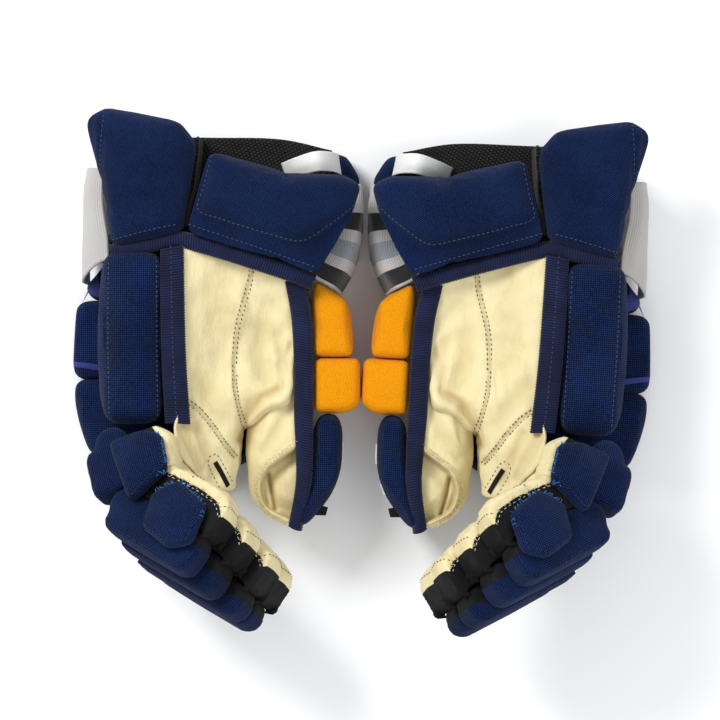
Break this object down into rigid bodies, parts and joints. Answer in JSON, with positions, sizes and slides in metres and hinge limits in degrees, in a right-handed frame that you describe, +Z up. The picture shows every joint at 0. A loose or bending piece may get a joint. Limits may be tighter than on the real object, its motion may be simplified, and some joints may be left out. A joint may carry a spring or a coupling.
{
  "type": "ice hockey gloves",
  "caption": "Pair of ice hockey gloves lying palm up, with flared cuffs, foam rolls, leather palms, and curled fingers and thumbs that bend.",
  "frame": {"origin": "centre of the pair's footprint, on the floor it lies on", "axes": "+X across the pair towards the right-hand glove, +Y towards the cuffs, +Z up out of the palms"},
  "size_m": [0.3558, 0.3282, 0.1438],
  "materials": {
    "navy_fabric": "matte knit",
    "yellow_fabric": "matte knit",
    "white_knit": "matte knit",
    "black_stretch": "matte",
    "tape": "ribbed",
    "leather": "soft suede"
  },
  "bodies": {
    "hands": {"left_back_rolls": "navy_fabric", "left_bindings": "tape", "left_cuff_back_pad": "navy_fabric", "left_liner": "black_stretch", "left_palm_leather": "leather", "left_pinky_side_roll": "navy_fabric", "left_thumb_base_pads": "yellow_fabric", "left_wrist_band": "white_knit", "right_back_rolls": "navy_fabric", "right_bindings": "tape", "right_cuff_back_pad": "navy_fabric", "right_liner": "black_stretch", "right_palm_leather": "leather", "right_pinky_side_roll": "navy_fabric", "right_thumb_base_pads": "yellow_fabric", "right_wrist_band": "white_knit"},
    "left_pinky_base": {"left_pinky_base_roll": "navy_fabric", "left_pinky_base_sleeve": "leather", "left_pinky_side_pad": "navy_fabric"},
    "left_pinky_tip": {"left_pinky_tip_roll": "navy_fabric", "left_pinky_tip_sleeve": "black_stretch", "left_pinky_tip_pad": "navy_fabric"},
    "left_ring_base": {"left_ring_base_roll": "navy_fabric", "left_ring_base_sleeve": "leather"},
    "left_ring_tip": {"left_ring_tip_roll": "navy_fabric", "left_ring_tip_sleeve": "black_stretch"},
    "left_middle_base": {"left_middle_base_roll": "navy_fabric", "left_middle_base_sleeve": "leather"},
    "left_middle_tip": {"left_middle_tip_roll": "navy_fabric", "left_middle_tip_sleeve": "black_stretch"},
    "left_index_base": {"left_index_base_roll": "navy_fabric", "left_index_base_sleeve": "leather"},
    "left_index_tip": {"left_index_tip_roll": "navy_fabric", "left_index_tip_sleeve": "black_stretch"},
    "left_thumb": {"left_thumb_tip_pad": "navy_fabric", "left_thumb_sleeve": "leather"},
    "left_cuff_palm_flap": {"left_cuff_palm_pad": "navy_fabric"},
    "left_cuff_pinky_flap": {"left_cuff_pinky_pad": "navy_fabric"},
    "right_pinky_base": {"right_pinky_base_roll": "navy_fabric", "right_pinky_base_sleeve": "leather", "right_pinky_side_pad": "navy_fabric"},
    "right_pinky_tip": {"right_pinky_tip_roll": "navy_fabric", "right_pinky_tip_sleeve": "black_stretch", "right_pinky_tip_pad": "navy_fabric"},
    "right_ring_base": {"right_ring_base_roll": "navy_fabric", "right_ring_base_sleeve": "leather"},
    "right_ring_tip": {"right_ring_tip_roll": "navy_fabric", "right_ring_tip_sleeve": "black_stretch"},
    "right_middle_base": {"right_middle_base_roll": "navy_fabric", "right_middle_base_sleeve": "leather"},
    "right_middle_tip": {"right_middle_tip_roll": "navy_fabric", "right_middle_tip_sleeve": "black_stretch"},
    "right_index_base": {"right_index_base_roll": "navy_fabric", "right_index_base_sleeve": "leather"},
    "right_index_tip": {"right_index_tip_roll": "navy_fabric", "right_index_tip_sleeve": "black_stretch"},
    "right_thumb": {"right_thumb_tip_pad": "navy_fabric", "right_thumb_sleeve": "leather"},
    "right_cuff_palm_flap": {"right_cuff_palm_pad": "navy_fabric"},
    "right_cuff_pinky_flap": {"right_cuff_pinky_pad": "navy_fabric"}
  },
  "joints": [
    {"name": "left_pinky_knuckle", "type": "hinge", "parent": "hands", "child": "left_pinky_base", "pos_m": [-0.1542, -0.04658, 0.07], "axis": [-0.4015, 0.4015, 0.8231], "range_deg": [-20, 8], "stiffness_Nm_per_rad": 0.6},
    {"name": "left_pinky_middle", "type": "hinge", "parent": "left_pinky_base", "child": "left_pinky_tip", "pos_m": [-0.14429, -0.08393, 0.09306], "axis": [-0.4015, 0.4015, 0.8231], "range_deg": [-20, 8], "stiffness_Nm_per_rad": 0.3},
    {"name": "left_ring_knuckle", "type": "hinge", "parent": "hands", "child": "left_ring_base", "pos_m": [-0.1461, -0.05796, 0.05339], "axis": [-0.4015, 0.4015, 0.8231], "range_deg": [-20, 8], "stiffness_Nm_per_rad": 0.6},
    {"name": "left_ring_middle", "type": "hinge", "parent": "left_ring_base", "child": "left_ring_tip", "pos_m": [-0.1353, -0.09863, 0.07849], "axis": [-0.4015, 0.4015, 0.8231], "range_deg": [-20, 8], "stiffness_Nm_per_rad": 0.3},
    {"name": "left_middle_knuckle", "type": "hinge", "parent": "hands", "child": "left_middle_base", "pos_m": [-0.13799, -0.06934, 0.03677], "axis": [-0.4015, 0.4015, 0.8231], "range_deg": [-20, 8], "stiffness_Nm_per_rad": 0.6},
    {"name": "left_middle_middle", "type": "hinge", "parent": "left_middle_base", "child": "left_middle_tip", "pos_m": [-0.12654, -0.1125, 0.06341], "axis": [-0.4015, 0.4015, 0.8231], "range_deg": [-20, 8], "stiffness_Nm_per_rad": 0.3},
    {"name": "left_index_knuckle", "type": "hinge", "parent": "hands", "child": "left_index_base", "pos_m": [-0.12971, -0.07981, 0.0198], "axis": [-0.4015, 0.4015, 0.8231], "range_deg": [-20, 8], "stiffness_Nm_per_rad": 0.6},
    {"name": "left_index_middle", "type": "hinge", "parent": "left_index_base", "child": "left_index_tip", "pos_m": [-0.11869, -0.12131, 0.04541], "axis": [-0.4015, 0.4015, 0.8231], "range_deg": [-20, 8], "stiffness_Nm_per_rad": 0.3},
    {"name": "left_thumb_bend", "type": "hinge", "parent": "hands", "child": "left_thumb", "pos_m": [-0.0222, -0.03358, 0.034], "axis": [0, 0, -1], "range_deg": [-5, 12]},
    {"name": "left_cuff_palm_fold", "type": "hinge", "parent": "hands", "child": "left_cuff_palm_flap", "pos_m": [-0.067, 0.08275, 0.0715], "axis": [0.9506, -0.3103, 0], "range_deg": [-4, 30], "stiffness_Nm_per_rad": 0.8},
    {"name": "left_cuff_pinky_fold", "type": "hinge", "parent": "hands", "child": "left_cuff_pinky_flap", "pos_m": [-0.13623, 0.0915, 0.0655], "axis": [0.977, 0.2132, 0], "range_deg": [-4, 30], "stiffness_Nm_per_rad": 0.8},
    {"name": "right_pinky_knuckle", "type": "hinge", "parent": "hands", "child": "right_pinky_base", "pos_m": [0.14803, -0.05447, 0.07], "axis": [-0.422, -0.38, -0.8231], "range_deg": [-20, 8], "stiffness_Nm_per_rad": 0.6},
    {"name": "right_pinky_middle", "type": "hinge", "parent": "right_pinky_base", "child": "right_pinky_tip", "pos_m": [0.13617, -0.09125, 0.09306], "axis": [-0.422, -0.38, -0.8231], "range_deg": [-20, 8], "stiffness_Nm_per_rad": 0.3},
    {"name": "right_ring_knuckle", "type": "hinge", "parent": "hands", "child": "right_ring_base", "pos_m": [0.13934, -0.06541, 0.05339], "axis": [-0.422, -0.38, -0.8231], "range_deg": [-20, 8], "stiffness_Nm_per_rad": 0.6},
    {"name": "right_ring_middle", "type": "hinge", "parent": "right_ring_base", "child": "right_ring_tip", "pos_m": [0.12643, -0.10546, 0.07849], "axis": [-0.422, -0.38, -0.8231], "range_deg": [-20, 8], "stiffness_Nm_per_rad": 0.3},
    {"name": "right_middle_knuckle", "type": "hinge", "parent": "hands", "child": "right_middle_base", "pos_m": [0.13065, -0.07635, 0.03677], "axis": [-0.422, -0.38, -0.8231], "range_deg": [-20, 8], "stiffness_Nm_per_rad": 0.6},
    {"name": "right_middle_middle", "type": "hinge", "parent": "right_middle_base", "child": "right_middle_tip", "pos_m": [0.11695, -0.11885, 0.06341], "axis": [-0.422, -0.38, -0.8231], "range_deg": [-20, 8], "stiffness_Nm_per_rad": 0.3},
    {"name": "right_index_knuckle", "type": "hinge", "parent": "hands", "child": "right_index_base", "pos_m": [0.12183, -0.08637, 0.0198], "axis": [-0.422, -0.38, -0.8231], "range_deg": [-20, 8], "stiffness_Nm_per_rad": 0.6},
    {"name": "right_index_middle", "type": "hinge", "parent": "right_index_base", "child": "right_index_tip", "pos_m": [0.10866, -0.12723, 0.04541], "axis": [-0.422, -0.38, -0.8231], "range_deg": [-20, 8], "stiffness_Nm_per_rad": 0.3},
    {"name": "right_thumb_bend", "type": "hinge", "parent": "hands", "child": "right_thumb", "pos_m": [0.01689, -0.03458, 0.034], "axis": [0, 0, 1], "range_deg": [-5, 12]},
    {"name": "right_cuff_palm_fold", "type": "hinge", "parent": "hands", "child": "right_cuff_palm_flap", "pos_m": [0.06772, 0.07925, 0.0715], "axis": [0.9656, 0.2601, 0], "range_deg": [-4, 30], "stiffness_Nm_per_rad": 0.8},
    {"name": "right_cuff_pinky_fold", "type": "hinge", "parent": "hands", "child": "right_cuff_pinky_flap", "pos_m": [0.1373, 0.08436, 0.0655], "axis": [0.9645, -0.264, 0], "range_deg": [-4, 30], "stiffness_Nm_per_rad": 0.8}
  ],
  "couplings": [
    {"joint": "left_pinky_middle", "follows": "left_pinky_knuckle", "ratio": 1},
    {"joint": "left_ring_middle", "follows": "left_ring_knuckle", "ratio": 1},
    {"joint": "left_middle_middle", "follows": "left_middle_knuckle", "ratio": 1},
    {"joint": "left_index_middle", "follows": "left_index_knuckle", "ratio": 1},
    {"joint": "right_pinky_middle", "follows": "right_pinky_knuckle", "ratio": 1},
    {"joint": "right_ring_middle", "follows": "right_ring_knuckle", "ratio": 1},
    {"joint": "right_middle_middle", "follows": "right_middle_knuckle", "ratio": 1},
    {"joint": "right_index_middle", "follows": "right_index_knuckle", "ratio": 1}
  ]
}
